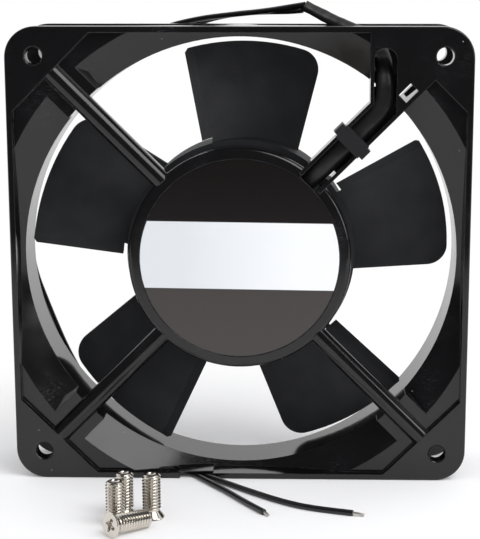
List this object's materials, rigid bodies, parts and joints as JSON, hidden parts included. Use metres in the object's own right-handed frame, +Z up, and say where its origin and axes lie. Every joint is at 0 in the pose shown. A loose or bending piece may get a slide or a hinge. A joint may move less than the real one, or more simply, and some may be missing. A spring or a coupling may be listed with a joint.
{
  "type": "axial cooling fan",
  "caption": "Square axial cooling fan with a die-cast duct frame, three struts and a lead channel, an external-rotor motor on ball bearings, a bladed impeller, two leads and loose screws.",
  "frame": {"origin": "centre of the outlet face, on the impeller axis, midway between the four outlet fixing holes", "axes": "+Y along the impeller axis from the outlet (label) side to the inlet side, +Z up, +X to the right seen from the outlet side"},
  "size_m": [0.1217, 0.0821, 0.1267],
  "materials": {
    "black_enamel_casting": "gloss black enamel on die-cast aluminium",
    "label_film": "printed label with a gloss laminate",
    "black_nylon": "moulded nylon",
    "heat_shrink": "satin heat-shrink sleeve",
    "lead_pvc": "PVC insulated lead",
    "tinned_copper": "tinned copper strands",
    "impeller_nylon": "glass-filled plastic, moulded matt",
    "brass_tube": "turned brass",
    "spring_steel": "spring steel",
    "ground_steel": "ground bearing steel",
    "zinc_steel": "zinc-plated sheet steel",
    "electrical_steel": "stacked laminations",
    "cast_aluminium": "pressure-cast aluminium",
    "enamelled_copper": "enamelled copper wire",
    "bare_copper": "bare copper",
    "white_insulator": "moulded insulator",
    "green_board": "laminate board",
    "bearing_cage": "pressed steel cage",
    "nickel_screws": "nickel-plated steel"
  },
  "bodies": {
    "frame": {"housing": "black_enamel_casting", "rating_label": "label_film", "lead_clip": "black_nylon", "lead_sleeve": "heat_shrink", "lead_live": "lead_pvc", "lead_neutral": "lead_pvc", "live_bare_end": "tinned_copper", "neutral_bare_end": "tinned_copper", "bearing_tube": "brass_tube", "preload_spring": "spring_steel", "stator_core": "electrical_steel", "stator_windings": "enamelled_copper", "shading_rings": "bare_copper", "front_insulator": "white_insulator", "rear_insulator": "white_insulator", "terminal_board": "green_board", "front_bearing_outer_ring": "ground_steel", "rear_bearing_outer_ring": "ground_steel", "front_bearing_shields": "zinc_steel", "rear_bearing_shields": "zinc_steel"},
    "rotor": {"impeller": "impeller_nylon", "rotor_cup": "zinc_steel", "rotor_core": "electrical_steel", "rotor_end_rings": "cast_aluminium", "rotor_boss": "brass_tube", "shaft": "ground_steel", "retaining_clip": "spring_steel", "shaft_washer": "ground_steel", "front_bearing_inner_ring": "ground_steel", "rear_bearing_inner_ring": "ground_steel"},
    "bearing_balls": {"front_bearing_balls": "ground_steel", "rear_bearing_balls": "ground_steel", "front_bearing_cage": "bearing_cage", "rear_bearing_cage": "bearing_cage"},
    "screws": {"fixing_screws": "nickel_screws"}
  },
  "joints": [
    {"name": "rotor_spin", "type": "hinge", "parent": "frame", "child": "rotor", "pos_m": [0, 0.012, 0], "axis": [0, 1, 0], "continuous": true},
    {"name": "ball_set_spin", "type": "hinge", "parent": "frame", "child": "bearing_balls", "pos_m": [0, 0.012, 0], "axis": [0, 1, 0], "continuous": true},
    {"name": "screws_pick_up", "type": "slide", "parent": "frame", "child": "screws", "axis": [0, 0, 1], "range_m": [0, 0.04]}
  ],
  "couplings": [
    {"joint": "ball_set_spin", "follows": "rotor_spin", "ratio": 0.3661}
  ]
}
